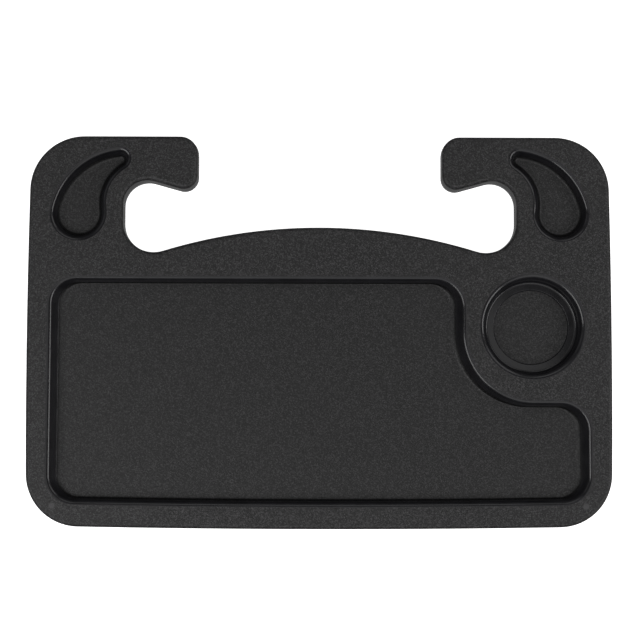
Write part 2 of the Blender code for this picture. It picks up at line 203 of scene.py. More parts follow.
class Bench:
    """One mesh on the bench, shaped in edit mode as by hand."""

    def __init__(self, piece: Piece) -> None:
        """Opens the active piece for editing.

        Args:
            piece: The piece.
        """
        self.piece = piece
        bpy.ops.object.mode_set(mode="EDIT")

    @classmethod
    def empty(cls, name: str) -> "Bench":
        """Starts an empty piece at the origin, with both finishes.

        Args:
            name: The piece's name.

        Returns:
            The bench, with the piece open for editing.
        """
        bpy.ops.object.select_all(action="DESELECT")
        bpy.ops.mesh.primitive_plane_add(size=SPECK, location=(0, 0, 0))
        piece = bpy.context.object
        piece.name = piece.data.name = name
        for finish in Finish:
            piece.data.materials.append(FINISHES[finish])
        bench = cls(piece)
        bpy.ops.mesh.select_all(action="SELECT")
        bpy.ops.mesh.delete(type="VERT")
        return bench

    def draw(self, curves: Sequence[Curve], height: float, pattern: Sequence[Curve] | None = None) -> None:
        """Draws a closed line of arcs and straights: a point is spun round each curve and pulled to the next.

        Args:
            curves: The outline's curves.
            height: The line's height.
            pattern: Curves that set how many straight pieces each arc gets, where several lines must match.
        """
        arcs = arcs_round(curves)
        counts = [arc.steps() for arc in arcs_round(pattern or curves)]
        start = arcs[0].point(0)
        bpy.ops.mesh.select_mode(type="VERT")
        bpy.ops.mesh.select_all(action="DESELECT")
        bpy.ops.mesh.primitive_plane_add(size=SPECK, location=(start.x, start.y, height))
        bpy.ops.mesh.merge(type="CENTER")
        for arc, following, count in zip(arcs, [*arcs[1:], arcs[0]], counts):
            centre = (arc.curve.x, arc.curve.y, height)
            bpy.ops.mesh.spin(steps=count, angle=-arc.sweep, center=centre, axis=UP)
            reached = following.point(0) + Vector((0, 0, height))
            bpy.ops.mesh.extrude_vertices_move(TRANSFORM_OT_translate={"value": reached - self.pen_tip()})
        bpy.ops.mesh.select_linked()
        bpy.ops.mesh.remove_doubles(threshold=WELD)

    def pen_tip(self) -> Vector:
        """Where the one selected point lies now."""
        mesh = bmesh.from_edit_mesh(self.piece.data)
        return next(vertex.co.copy() for vertex in mesh.verts if vertex.select)

    def fill_line(self, facing: Facing) -> None:
        """Closes the selected line with one face that looks up or down.

        Args:
            facing: Up for the food side, down for the laptop side.
        """
        bpy.ops.mesh.edge_face_add()
        mesh = bmesh.from_edit_mesh(self.piece.data)
        made = next(face for face in mesh.faces if face.select)
        made.normal_update()
        if made.normal.z * facing.value < 0:
            bpy.ops.mesh.flip_normals()

    def grain(self) -> None:
        """Gives the selected faces the grained finish."""
        self.piece.active_material_index = Finish.GRAINED.value
        bpy.ops.object.material_slot_assign()
        self.piece.active_material_index = Finish.SATIN.value

    def follow(self, levels: Section, from_rise: float = 0.0) -> None:
        """Insets the selected face step by step along a section.

        Args:
            levels: Distances inwards and along the face's own direction, each from the section's start.
            from_rise: The distance along its direction at which the face lies now.
        """
        from_inward = 0.0
        for inward, rise in levels:
            bpy.ops.mesh.inset(
                thickness=max(inward - from_inward, 0),
                depth=rise - from_rise,
                use_boundary=True,
                use_even_offset=True,
            )
            from_inward, from_rise = inward, rise

    def sink(self, rings: Sequence[Sequence[Curve]], heights: Sequence[float], grain_height: float) -> None:
        """Draws a line at each height, bridges it to the one above it, closes the last and grains the low part.

        Args:
            rings: The lines' curves, from the rim to the floor.
            heights: The lines' heights.
            grain_height: The height below which the faces are grained.
        """
        for ring, curves in enumerate(rings):
            self.draw(curves, heights[ring], rings[0])
            if ring:
                self.select_open_edges(heights[ring - 1], heights[ring])
                bpy.ops.mesh.bridge_edge_loops()
        self.select_open_edges(heights[-1])
        self.fill_line(Facing.FOOD_SIDE)
        self.select("FACE", lambda face: all(vertex.co.z < grain_height for vertex in face.verts))
        self.grain()

    def select(self, kind: str, test: Callable[..., bool]) -> None:
        """Selects only the faces or edges that pass a test.

        Args:
            kind: FACE or EDGE.
            test: The test of one face or edge.
        """
        bpy.ops.mesh.select_mode(type=kind)
        bpy.ops.mesh.select_all(action="DESELECT")
        mesh = bmesh.from_edit_mesh(self.piece.data)
        items = mesh.faces if kind == "FACE" else mesh.edges
        items.index_update()
        for item in filter(test, items):
            item.select_set(True)
        bmesh.update_edit_mesh(self.piece.data)

    def select_open_edges(self, *heights: float) -> None:
        """Selects the open edges that lie at these heights.

        Args:
            heights: The heights of the lines.
        """

        def open_at(edge: bmesh.types.BMEdge) -> bool:
            """Whether the edge has a free side and lies flat at one of the heights."""
            ends = [vertex.co.z for vertex in edge.verts]
            return len(edge.link_faces) < 2 and any(
                all(abs(end - height) < LEVEL_TOLERANCE for end in ends) for height in heights
            )

        self.select("EDGE", open_at)

    def close(self) -> Piece:
        """Ends editing.

        Returns:
            The piece.
        """
        bpy.ops.mesh.select_mode(type="VERT")
        bpy.ops.object.mode_set(mode="OBJECT")
        return self.piece


def apply_modifier(piece: Piece, kind: str, **settings: object) -> None:
    """Adds a modifier to a piece and applies it.

    Args:
        piece: The piece.
        kind: The modifier's type.
        settings: Its settings.
    """
    bpy.ops.object.select_all(action="DESELECT")
    bpy.context.view_layer.objects.active = piece
    piece.select_set(True)
    modifier = piece.modifiers.new(kind.lower(), kind)
    for name, value in settings.items():
        setattr(modifier, name, value)
    bpy.ops.object.modifier_apply(modifier=modifier.name)


def join_pieces(pieces: Sequence[Piece]) -> Piece:
    """Joins pieces into the first one.

    Args:
        pieces: The pieces.

    Returns:
        The first piece, which now holds them all.
    """
    bpy.ops.object.select_all(action="DESELECT")
    for piece in pieces:
        piece.select_set(True)
    bpy.context.view_layer.objects.active = pieces[0]
    bpy.ops.object.join()
    return pieces[0]


@dataclass(frozen=True)
class WallSection:
    """A recess wall's section: a round rim, a straight slope and a round foot.

    The roll is how far outside the recess's line the rim starts. Grain covers the foot and the floor.
    """

    depth: float
    slope: float
    rim: float
    foot: float
    roll: float = 0.0

    @property
    def rim_down(self) -> float:
        """How deep the rim ends."""
        return self.rim * (1 - math.cos(self.slope))

    @property
    def foot_rise(self) -> float:
        """How high the foot reaches above the floor."""
        return self.foot * (1 - math.cos(self.slope))

    @property
    def run(self) -> float:
        """How far in the floor starts."""
        straight = (self.depth - self.rim_down - self.foot_rise) / math.tan(self.slope)
        return straight + (self.rim + self.foot) * math.sin(self.slope)

    def offset(self, down: float) -> float:
        """How far inside the recess's line the wall lies at a depth."""
        return self.inward(down) - self.roll

    def inward(self, down: float) -> float:
        """How far in the wall lies at a depth.

        Args:
            down: The depth below the face.

        Returns:
            The distance inwards from the rim's start.
        """
        up = max(self.depth - down, 0)
        if down <= self.rim_down:
            return math.sqrt(down * (2 * self.rim - down))
        if up <= self.foot_rise:
            return self.run - math.sqrt(up * (2 * self.foot - up))
        return self.rim * math.sin(self.slope) + (down - self.rim_down) / math.tan(self.slope)

    def depths(self, steps: int) -> list[float]:
        """Depths that follow the section's curves evenly.

        Args:
            steps: How many steps the rim and the foot get.

        Returns:
            The depths, from the face to the floor.
        """
        shares = [step / steps for step in range(steps + 1)]
        rim = [self.rim * (1 - math.cos(self.slope * share)) for share in shares]
        foot = [self.depth - self.foot * (1 - math.cos(self.slope * share)) for share in reversed(shares)]
        return rim + foot

    def levels(self, steps: int) -> Section:
        """The section as distances inwards and along a face that looks out of the recess."""
        return [(self.inward(down), -down) for down in self.depths(steps)[1:]]


def shared_depths(walls: Sequence[WallSection], steps: int) -> list[float]:
    """The depths that several walls of one recess need, without those that almost coincide.

    Args:
        walls: The walls, of one depth.
        steps: How many steps each curve gets.

    Returns:
        The depths in order.
    """
    kept = [0.0]
    deepest = walls[0].depth
    for down in sorted(down for wall in walls for down in wall.depths(steps)):
        if down - kept[-1] > LEAST_STEP and deepest - down > LEAST_STEP:
            kept.append(down)
    return [*kept, deepest]


@dataclass(frozen=True)
class Build:
    """The sizes that both shells share."""

    thickness: float = 20 * MM
    seam_gap: float = 0.3 * MM
    seam_chamfer: float = 0.22 * MM
    edge_radius: float = 3 * MM
    draft: float = math.radians(3)
    wall: float = 1.9 * MM
    shoulder_steps: int = 9

    @property
    def seam(self) -> float:
        """The seam's height."""
        return self.thickness / 2

    def shoulder(self, reach: float) -> Section:
        """The outer edge's section from the seam's chamfer to the broad face.

        Args:
            reach: The distance from the shell's rim to its broad face.

        Returns:
            Distances inwards and outwards along the face's own direction.
        """
        lean = math.tan(self.draft) * (reach - self.edge_radius)
        turns = [math.pi / 2 * step / self.shoulder_steps for step in range(self.shoulder_steps + 1)]
        radius = self.edge_radius
        return [(lean + radius * (1 - math.cos(turn)), reach - radius * (1 - math.sin(turn))) for turn in turns]


@dataclass(frozen=True)
class TrayEdge:
    """The tray's outer edge at the seam: bowed sides, corners, hooks and the arch between them."""

    length: float = 420 * MM
    width: float = 282.5 * MM
    side_bow: float = 6200 * MM
    bottom_bow: float = 9400 * MM
    top_corner: float = 39.5 * MM
    bottom_corner: float = 38.3 * MM
    arm_width: float = 68.7 * MM
    hook_overhang: float = 53.5 * MM
    hook_roof: float = 32.8 * MM
    hook_lip: float = 6.2 * MM
    throat_height: float = 51.3 * MM
    tip_top: float = 13.2 * MM
    tip_low: float = 10.6 * MM
    throat_top: float = 17 * MM
    throat_low: float = 21.8 * MM
    arch: float = 382 * MM

    @property
    def half_length(self) -> float:
        """Half the tray's length."""
        return self.length / 2

    @property
    def half_width(self) -> float:
        """Half the tray's width."""
        return self.width / 2

    @property
    def throat_x(self) -> float:
        """Where the right throat's outer wall stands."""
        return self.half_length - self.arm_width

    @property
    def throat_roof(self) -> float:
        """The throats' upper end."""
        return self.half_width - self.hook_roof

    @property
    def throat_floor(self) -> float:
        """The throats' lower end."""
        return self.throat_roof - self.throat_height

    def hook(self) -> list[Curve]:
        """The right hook's outline.

        Returns:
            The tip's two corners, then the throat's hollow top and bottom.
        """
        tip_x = self.throat_x - self.hook_overhang
        tip_y = self.throat_roof - self.hook_lip
        return [
            Curve(tip_x + self.tip_top, self.half_width - self.tip_top, self.tip_top),
            Curve(tip_x + self.tip_low, tip_y + self.tip_low, self.tip_low),
            Curve(self.throat_x - self.throat_top, self.throat_roof - self.throat_top, -self.throat_top),
            Curve(self.throat_x - self.throat_low, self.throat_floor + self.throat_low, -self.throat_low),
        ]

    def curves(self, outward: float = 0.0) -> list[Curve]:
        """The whole edge.

        Args:
            outward: How far the line lies outside the edge at the seam.

        Returns:
            The edge's curves, anticlockwise.
        """
        side = Curve(self.half_length - self.side_bow, 0, self.side_bow)
        bottom = Curve(0, self.bottom_bow - self.half_width, self.bottom_bow)
        low_x, low_y = meeting_point(
            bottom, self.bottom_bow - self.bottom_corner, side, self.side_bow - self.bottom_corner
        )
        top_y = self.half_width - self.top_corner
        top_x = side.x + math.sqrt((self.side_bow - self.top_corner) ** 2 - top_y**2)
        right = [Curve(low_x, low_y, self.bottom_corner), side, Curve(top_x, top_y, self.top_corner), *self.hook()]
        throat = right[-1]
        arch_y = throat.y - math.sqrt((self.arch - throat.radius) ** 2 - throat.x**2)
        left = [curve.mirrored() for curve in reversed(right)]
        return [curve.grown(outward) for curve in (bottom, *right, Curve(0, arch_y, self.arch), *left)]


@dataclass(frozen=True)
class CupWell:
    """The round well, with a smooth ring that rises a little inwards and a grained disc one step lower."""

    edge: TrayEdge
    recess_top: float
    radius: float = 36.4 * MM
    side_border: float = 20.7 * MM
    rise: float = 1.2 * MM
    wall: WallSection = WallSection(12.2 * MM, math.radians(87), 4.5 * MM, 2.0 * MM, roll=1.7 * MM)
    ring_radius: float = 27.4 * MM
    ring_rise: float = 0.3 * MM
    step_radius: float = 0.45 * MM
    step_slope: float = math.radians(65)
    step_turns: int = 3
    depth: float = 13.1 * MM
    sides: int = 160
    steps: int = 10

    @property
    def x(self) -> float:
        """The well's middle along the tray."""
        return self.edge.half_length - self.side_border - self.radius

    @property
    def y(self) -> float:
        """The well's middle across the tray."""
        return self.recess_top + self.rise - self.radius

    def section(self) -> Section:
        """The well's section from its rim to its disc.

        Returns:
            Distances inwards and upwards.
        """
        reach = self.radius + self.wall.roll - self.ring_radius
        low = self.wall.depth - self.ring_rise
        turns = [self.step_slope * step / self.step_turns for step in range(self.step_turns + 1)]
        radius = self.step_radius
        edge = [(reach + radius * math.sin(turn), radius * (math.cos(turn) - 1) - low) for turn in turns]
        inward, rise = edge[-1]
        disc_start = inward + (self.depth + rise) / math.tan(self.step_slope)
        return [*self.wall.levels(self.steps), *edge, (disc_start, -self.depth)]

    def model(self, height: float) -> Piece:
        """Makes the well's skin.

        Args:
            height: The food face's height.

        Returns:
            The skin, open at its rim.
        """
        bench = Bench.empty("cup_well")
        middle = (self.x, self.y, height)
        rim = self.radius + self.wall.roll
        bpy.ops.mesh.primitive_circle_add(vertices=self.sides, radius=rim, fill_type="NGON", location=middle)
        bench.follow(self.section())
        bench.grain()
        return bench.close()


@dataclass(frozen=True)
class FoodRecess:
    """The large recess: a field on the left and a leg that runs under the cup's island."""

    edge: TrayEdge
    side_border: float = 17.2 * MM
    bottom_border: float = 16.2 * MM
    top_border: float = 18.1 * MM
    island_border: float = 13.2 * MM
    island_drop: float = 3.9 * MM
    top_radius: float = 19 * MM
    low_radius: float = 20 * MM
    inner_radius: float = 21.6 * MM
    leg_radius: float = 21 * MM
    grain_from: float = 6.1 * MM
    side_wall: WallSection = WallSection(8.5 * MM, math.radians(51.5), 4.5 * MM, 9.4 * MM, roll=2.3 * MM)
    top_wall: WallSection = WallSection(8.5 * MM, math.radians(76), 3.2 * MM, 0.8 * MM, roll=0.4 * MM)
    low_wall: WallSection = WallSection(8.5 * MM, math.radians(77), 4.0 * MM, 2.0 * MM, roll=0.4 * MM)
    steps: int = 8

    @property
    def top(self) -> float:
        """Where the recess's upper rim lies."""
        return self.edge.throat_floor - self.top_border

    def curves(self, cup: CupWell, down: float) -> list[Curve]:
        """The recess's line at a depth. Its sides, its top and its bottom lean in by their own sections.

        Args:
            cup: The cup well whose island the recess goes round.
            down: The depth below the rim.

        Returns:
            The line's curves.
        """
        side, top, low = (wall.offset(down) for wall in (self.side_wall, self.top_wall, self.low_wall))
        right_x = self.edge.half_length - self.side_border - side
        top_y = self.top - top
        island = cup.radius + self.island_border
        island_y = cup.y - self.island_drop
        shelf_y = island_y - island - top
        field_x = cup.x - island - side
        upper, lower = (side + top) / 2, (side + low) / 2
        low_radius, leg_radius = self.low_radius - lower, self.leg_radius - upper
        inner_radius, top_radius = self.inner_radius - upper, self.top_radius - upper
        bow_reach = self.edge.bottom_bow - self.bottom_border - low
        bow = Curve(0, self.edge.bottom_bow - self.edge.half_width, bow_reach)
        low_x = right_x - low_radius
        low_y = bow.y - math.sqrt((bow.radius - low_radius) ** 2 - low_x**2)
        return [
            bow,
            Curve(low_x, low_y, low_radius),
            Curve(right_x - leg_radius, shelf_y - leg_radius, leg_radius),
            Curve(field_x + island + upper, shelf_y + island + upper, -island - upper),
            Curve(field_x - inner_radius, top_y - inner_radius, inner_radius),
            Curve(top_radius - right_x, top_y - top_radius, top_radius),
            Curve(-low_x, low_y, low_radius),
        ]

    def model(self, cup: CupWell, height: float) -> Piece:
        """Makes the recess's skin: a line at each depth, bridged to the one above it, and a floor.

        Args:
            cup: The cup well.
            height: The food face's height.

        Returns:
            The skin, open at its rim.
        """
        bench = Bench.empty("food_recess")
        depths = shared_depths((self.side_wall, self.top_wall, self.low_wall), self.steps)
        rings = [self.curves(cup, down) for down in depths]
        bench.sink(rings, [height - down for down in depths], height - self.grain_from)
        return bench.close()


@dataclass(frozen=True)
class ArmPocket:
    """A teardrop pocket in a hook's arm."""

    edge: TrayEdge
    outer_margin: float = 17.8 * MM
    inner_margin: float = 14 * MM
    drop: float = 56 * MM
    back_radius: float = 54 * MM
    tip_radius: float = 6.4 * MM
    tip_drop: float = 16.9 * MM
    tip_shift: float = 3.2 * MM
    least_tip: float = 0.5 * MM
    grain_from: float = 6.3 * MM
    wall: WallSection = WallSection(8.5 * MM, math.radians(72), 3.6 * MM, 3.4 * MM, roll=2.2 * MM)
    steps: int = 7

    def curves(self, down: float) -> list[Curve]:
        """The right pocket's line at a depth: a round end, a bowed back, a small tip and a hollow front.

        Args:
            down: The depth below the rim.

        Returns:
            The line's curves.
        """
        inward = self.wall.offset(down)
        radius = (self.edge.arm_width - self.outer_margin - self.inner_margin) / 2
        end = Curve(self.edge.throat_x + self.inner_margin + radius, self.edge.half_width - self.drop, radius)
        tip = Curve(self.edge.throat_x + self.tip_shift, self.edge.half_width - self.tip_drop, self.tip_radius)
        hollow = self.edge.throat_top + self.inner_margin
        back = Curve(*meeting_point(end, self.back_radius - radius, tip, self.back_radius - self.tip_radius), 0)
        front = Curve(*meeting_point(end, hollow + radius, tip, hollow + self.tip_radius), 0)
        tip_radius = max(self.tip_radius - inward, self.least_tip)
        reach_back, reach_front = self.back_radius - inward - tip_radius, hollow + inward + tip_radius
        tip_spot = meeting_point(front, reach_front, back, reach_back)
        return [
            end.grown(-inward),
            back.grown(self.back_radius - inward),
            Curve(*tip_spot, tip_radius),
            front.grown(-hollow - inward),
        ]

    def model(self, height: float, on_left: bool) -> Piece:
        """Makes one pocket's skin.

        Args:
            height: The food face's height.
            on_left: Whether it is the left arm's pocket.

        Returns:
            The skin, open at its rim.
        """
        depths = shared_depths((self.wall,), self.steps)
        rings = [self.curves(down) for down in depths]
        if on_left:
            rings = [[curve.mirrored() for curve in reversed(ring)] for ring in rings]
        bench = Bench.empty("left_pocket" if on_left else "right_pocket")
        bench.sink(rings, [height - down for down in depths], height - self.grain_from)
        return bench.close()


@dataclass(frozen=True)
class LaptopPanel:
    """The laptop side's plain panel, one step below its border, and the pen groove beside it."""

    edge: TrayEdge
    recess_top: float
    margin: float = 20 * MM
    radius: float = 18 * MM
    pen_length: float = 110 * MM
    pen_width: float = 10 * MM
    pen_margin: float = 10.8 * MM
    wall: WallSection = WallSection(1.2 * MM, math.radians(50), 0.6 * MM, 0.6 * MM)
    pen_wall: WallSection = WallSection(5 * MM, math.radians(78), 0.6 * MM, 1.6 * MM)
    steps: int = 4

    def outlines(self) -> list[tuple[list[Curve], WallSection]]:
        """The panel and the groove.

        Returns:
            Their rims, each with its wall.
        """
        side_x = self.edge.half_length - self.margin - self.radius
        top_y = self.recess_top - self.radius
        bottom_y = self.margin - self.edge.half_width + self.radius
        corners = ((side_x, bottom_y), (side_x, top_y), (-side_x, top_y), (-side_x, bottom_y))
        end_x = (self.pen_length - self.pen_width) / 2
        ends = [Curve(x, self.recess_top + self.pen_margin, self.pen_width / 2) for x in (end_x, -end_x)]
        return [([Curve(x, y, self.radius) for x, y in corners], self.wall), (ends, self.pen_wall)]

    def model(self) -> list[Piece]:
        """Makes the panel and the groove.

        Returns:
            Their skins, open at their rims.
        """
        skins = []
        for name, (curves, wall) in zip(("laptop_panel", "pen_groove"), self.outlines()):
            bench = Bench.empty(name)
            bench.draw(curves, 0)
            bench.fill_line(Facing.LAPTOP_SIDE)
            bench.follow(wall.levels(self.steps))
            bench.grain()
            skins.append(bench.close())
        return skins


@dataclass(frozen=True)
class Shell:
    """One of the two shells: an outer edge from the seam to a broad face, and what is sunk into that face."""

    name: str
    node: str
    facing: Facing
    edge: TrayEdge
    build: Build

    @property
    def face_height(self) -> float:
        """The broad face's height."""
        return self.build.thickness if self.facing is Facing.FOOD_SIDE else 0.0

    @property
    def rim_height(self) -> float:
        """The height of the shell's rim at the seam."""
        return self.build.seam + self.facing.value * self.build.seam_gap / 2

    def edge_skin(self) -> Piece:
        """Makes the outer edge.

        Returns:
            The skin, open at the seam and at the broad face.
        """
        up = self.facing.value
        chamfer = self.build.seam_chamfer
        low, high = self.rim_height, self.rim_height + up * chamfer
        pattern = self.edge.curves()
        bench = Bench.empty(self.name)
        bench.draw(self.edge.curves(-chamfer), low, pattern)
        bench.draw(pattern, high)
        bench.select_open_edges(low, high)
        bpy.ops.mesh.bridge_edge_loops()
        bench.select_open_edges(high)
        bench.fill_line(self.facing)
        reach = abs(self.face_height - low)
        bench.follow(self.build.shoulder(reach), from_rise=chamfer)
        bpy.ops.mesh.delete(type="ONLY_FACE")
        shoulder = reach - self.build.edge_radius - LEVEL_TOLERANCE
        bench.select("FACE", lambda face: all((vertex.co.z - low) * up > shoulder for vertex in face.verts))
        bench.grain()
        return bench.close()

    def model(self, sunk: Sequence[Piece]) -> Piece:
        """Joins the edge and the sunk skins, fills the broad face between them and gives the wall its thickness.

        Args:
            sunk: The skins of the recesses.

        Returns:
            The finished shell.
        """
        piece = join_pieces([self.edge_skin(), *sunk])
        bench = Bench(piece)
        bench.select_open_edges(self.face_height)
        sunk_faces = len(piece.data.polygons)
        bpy.ops.mesh.fill(use_beauty=True)
        bench.select("FACE", lambda face: face.index >= sunk_faces)
        bench.grain()
        bpy.ops.mesh.select_mode(type="VERT")
        bpy.ops.mesh.select_all(action="SELECT")
        bpy.ops.mesh.normals_make_consistent(inside=False)
        mesh = bmesh.from_edit_mesh(piece.data)
        broad = max(mesh.faces, key=lambda face: face.calc_area())
        if broad.normal.z * self.facing.value < 0:
            bpy.ops.mesh.flip_normals()
        bench.close()
        apply_modifier(piece, "SOLIDIFY", thickness=self.build.wall, offset=-1, use_even_offset=True)
        bpy.ops.object.shade_smooth_by_angle(angle=SHARP_ANGLE)
        apply_modifier(piece, "WEIGHTED_NORMAL", keep_sharp=True, weight=NORMAL_WEIGHT)
        return piece


class NodeSheet:
    """The nodes of a new material or world. A material's patterns lie on the piece's own coordinates."""

    def __init__(self, owner: bpy.types.ID) -> None:
        """Opens the nodes.

        Args:
            owner: The material or world.
        """
        owner.use_nodes = True
        self.owner = owner
        self.tree = owner.node_tree
        self.places = self.add("ShaderNodeTexCoord").outputs

    def add(self, kind: str, **settings: object) -> bpy.types.Node:
        """Adds a node.

        Args:
            kind: The node's type.
            settings: Its properties.

        Returns:
            The node.
        """
        node = self.tree.nodes.new(kind)
        for name, value in settings.items():
            setattr(node, name, value)
        return node

    def supply(self, socket: Socket, value: object) -> None:
        """Wires an input to another node's output, or sets its value.

        Args:
            socket: The input.
            value: The output or the value.
        """
        if isinstance(value, Socket):
            self.tree.links.new(value, socket)
        else:
            socket.default_value = value

    def feed(self, node: bpy.types.Node, **inputs: object) -> bpy.types.Node:
        """Sets or wires a node's inputs by name, with underscores for spaces.

        Args:
            node: The node.
            inputs: Values, or outputs of other nodes.

        Returns:
            The node.
        """
        for name, value in inputs.items():
            self.supply(node.inputs[name.replace("_", " ")], value)
        return node

    def maths(self, operation: str, first: object, second: object = 0.0) -> Socket:
        """Adds one sum.

        Args:
            operation: The sum's kind.
            first: Its first value or source.
            second: Its second value or source.

        Returns:
            The result.
        """
        node = self.add("ShaderNodeMath", operation=operation)
        for socket, value in zip(node.inputs, (first, second)):
            self.supply(socket, value)
        return node.outputs[0]

    def split(self, vector: Socket) -> bpy.types.NodeOutputs:
        """A vector's X, Y and Z."""
        return self.feed(self.add("ShaderNodeSeparateXYZ"), Vector=vector).outputs

    def spread(self, source: Socket, span: Span, target: Span, curve: str = "SMOOTHSTEP") -> Socket:
        """Stretches a value from one range to another.

        Args:
            source: The value.
            span: The old range.
            target: The new range.
            curve: How the value runs between the ends.

        Returns:
            The stretched value.
        """
        node = self.add("ShaderNodeMapRange", interpolation_type=curve)
        self.feed(node, Value=source, From_Min=span[0], From_Max=span[1], To_Min=target[0], To_Max=target[1])
        return node.outputs["Result"]

    def clouds(self, scale: float, detail: float) -> Socket:
        """A cloudy pattern."""
        node = self.add("ShaderNodeTexNoise")
        return self.feed(node, Vector=self.places["Object"], Scale=scale, Detail=detail).outputs["Fac"]

    def cells(self, scale: float) -> bpy.types.NodeOutputs:
        """A pattern of cells, each with its own colour."""
        return self.feed(self.add("ShaderNodeTexVoronoi"), Vector=self.places["Object"], Scale=scale).outputs

    def relief(self, height: Socket, depth: float, strength: object) -> Socket:
        """The normal of a surface that a pattern raises."""
        node = self.add("ShaderNodeBump")
        return self.feed(node, Height=height, Distance=depth, Strength=strength).outputs["Normal"]

    def blend(self, share: Socket, first: Colour, second: Colour) -> Socket:
        """A mix of two colours, by the share of the second."""
        node = self.add("ShaderNodeMix", data_type="RGBA")
        return self.feed(node, Factor=share, A=(*first, 1), B=(*second, 1)).outputs["Result"]

    def finish(self, shader: str, **inputs: object) -> bpy.types.ID:
        """Feeds the last node, by its name, and gives back the material or world."""
        self.feed(self.tree.nodes[shader], **inputs)
        return self.owner


@dataclass(frozen=True)
class GrainedPlastic:
    """Black moulded plastic with a fine leather grain, coarser on the broad faces than on the sunk floors.

    A surface's reach is its distance from the tray's middle height: short on the sunk floors, long on the
    broad faces. Where a sunk surface leans, its colour and its sheen darken: partly the grain fading there,
    partly painted shade on the recess walls' feet.
    """

    pit_colour: Colour = (0.0015, 0.00145, 0.0016)
    peak_colour: Colour = (0.0495, 0.0479, 0.0500)
    peak_power: float = 2.5
    roughness: Span = (0.38, 0.62)
    # The low end of the sheen goes to leaning sunk surfaces: painted shade there.
    sheen: Span = (0.15, 0.5)
    pebble_scale: float = 1450.0
    pebble_share: float = 0.5
    crease_scale: float = 1900.0
    crease_detail: float = 1.0
    grain_depth: float = 0.16 * MM
    middle: float = 10 * MM
    reach_span: Span = (5.0 * MM, 8.0 * MM)
    floor_share: float = 0.68
    # Over this lean the colour and sheen darken down to the lean share: partly the grain fading, partly painted
    # shade on the recess walls' feet.
    lean_span: Span = (math.cos(math.radians(38)), math.cos(math.radians(3)))
    lean_share: float = 0.25
    mark_x: float = 189.6 * MM
    mark_y: float = -124.4 * MM
    mark_span: Span = (1.3 * MM, 3.2 * MM)
    mark_tone: float = 1.0

    def material(self) -> bpy.types.Material:
        """Makes the material.

        Returns:
            The material.
        """
        sheet = NodeSheet(bpy.data.materials.new("grained_plastic"))
        where = sheet.split(sheet.places["Object"])
        reach = sheet.maths("ABSOLUTE", sheet.maths("SUBTRACT", where["Z"], self.middle))
        coarse = sheet.spread(reach, self.reach_span, (self.floor_share, 1.0))
        # Lower where a sunk surface leans: it darkens the colour and the sheen there, partly for the fading grain,
        # partly as painted shade.
        grain_and_painted_shade = self.grain_and_painted_shade(sheet, reach)
        pebble = sheet.cells(self.pebble_scale)
        dome = sheet.maths("MULTIPLY", sheet.maths("SUBTRACT", 1.0, pebble["Distance"]), self.pebble_share)
        height = sheet.maths("ADD", dome, sheet.clouds(self.crease_scale, self.crease_detail))
        lot = sheet.split(pebble["Color"])
        bright = sheet.maths("MULTIPLY", sheet.maths("POWER", lot["X"], self.peak_power), coarse)
        tone = sheet.maths("MAXIMUM", sheet.maths("MULTIPLY", bright, grain_and_painted_shade), self.marks(sheet, where))
        return sheet.finish(
            SURFACE,
            Base_Color=sheet.blend(tone, self.pit_colour, self.peak_colour),
            Roughness=sheet.spread(lot["Y"], UNIT, self.roughness),
            # The sheen is cut where a sunk surface leans: painted shade on the recess walls' feet.
            Specular_IOR_Level=sheet.spread(grain_and_painted_shade, UNIT, self.sheen),
            Normal=sheet.relief(height, self.grain_depth, coarse),
            IOR=PLASTIC_IOR,
            Metallic=0.0,
        )

    def grain_and_painted_shade(self, sheet: NodeSheet, reach: Socket) -> Socket:
        """The share of grain and light: less where a sunk surface leans, partly as the grain fades there, partly
        as painted shade.

        Args:
            sheet: The material's nodes.
            reach: The surface's distance from the tray's middle height.

        Returns:
            The share.
        """
        normal = sheet.add("ShaderNodeNewGeometry").outputs["Normal"]
        upright = sheet.maths("ABSOLUTE", sheet.split(normal)["Z"])
        # Darker colour and less sheen on steep sunk surfaces: painted shade, with the grain fading there too.
        level = sheet.spread(upright, self.lean_span, (self.lean_share, 1.0))
        return sheet.maths("MAXIMUM", level, sheet.spread(reach, self.reach_span, UNIT))

    def marks(self, sheet: NodeSheet, where: bpy.types.NodeOutputs) -> Socket:
        """Makes the two paler round moulding marks in the food face's lower corners.

        Args:
            sheet: The material's nodes.
            where: The place's X, Y and Z.

        Returns:
            The tone that the marks have at least.
        """
        across = sheet.maths("SUBTRACT", sheet.maths("ABSOLUTE", where["X"]), self.mark_x)
        along = sheet.maths("SUBTRACT", where["Y"], self.mark_y)
        squares = [sheet.maths("MULTIPLY", way, way) for way in (across, along)]
        distance = sheet.maths("SQRT", sheet.maths("ADD", *squares))
        disc = sheet.spread(distance, self.mark_span, (self.mark_tone, 0.0))
        return sheet.maths("MULTIPLY", disc, sheet.maths("GREATER_THAN", where["Z"], self.middle))


@dataclass(frozen=True)
class SatinPlastic:
    """The same black plastic where the mould is smooth: edges, walls and the ring in the cup well."""

    deep: Colour = (0.0050, 0.0049, 0.0061)
    pale: Colour = (0.0090, 0.0088, 0.0107)
    roughness: Span = (0.17, 0.23)
    cloud_scale: float = 90.0
    ripple_depth: float = 0.02 * MM
    ripple_strength: float = 0.4

    def material(self) -> bpy.types.Material:
        """Makes the material.

        Returns:
            The material.
        """
        sheet = NodeSheet(bpy.data.materials.new("satin_plastic"))
        cloud = sheet.clouds(self.cloud_scale, CLOUD_DETAIL)
        return sheet.finish(
            SURFACE,
            Base_Color=sheet.blend(sheet.spread(cloud, CLOUD_SPAN, UNIT), self.deep, self.pale),
            Roughness=sheet.spread(cloud, CLOUD_SPAN, self.roughness),
            Normal=sheet.relief(cloud, self.ripple_depth, self.ripple_strength),
            IOR=PLASTIC_IOR,
            Metallic=0.0,
        )


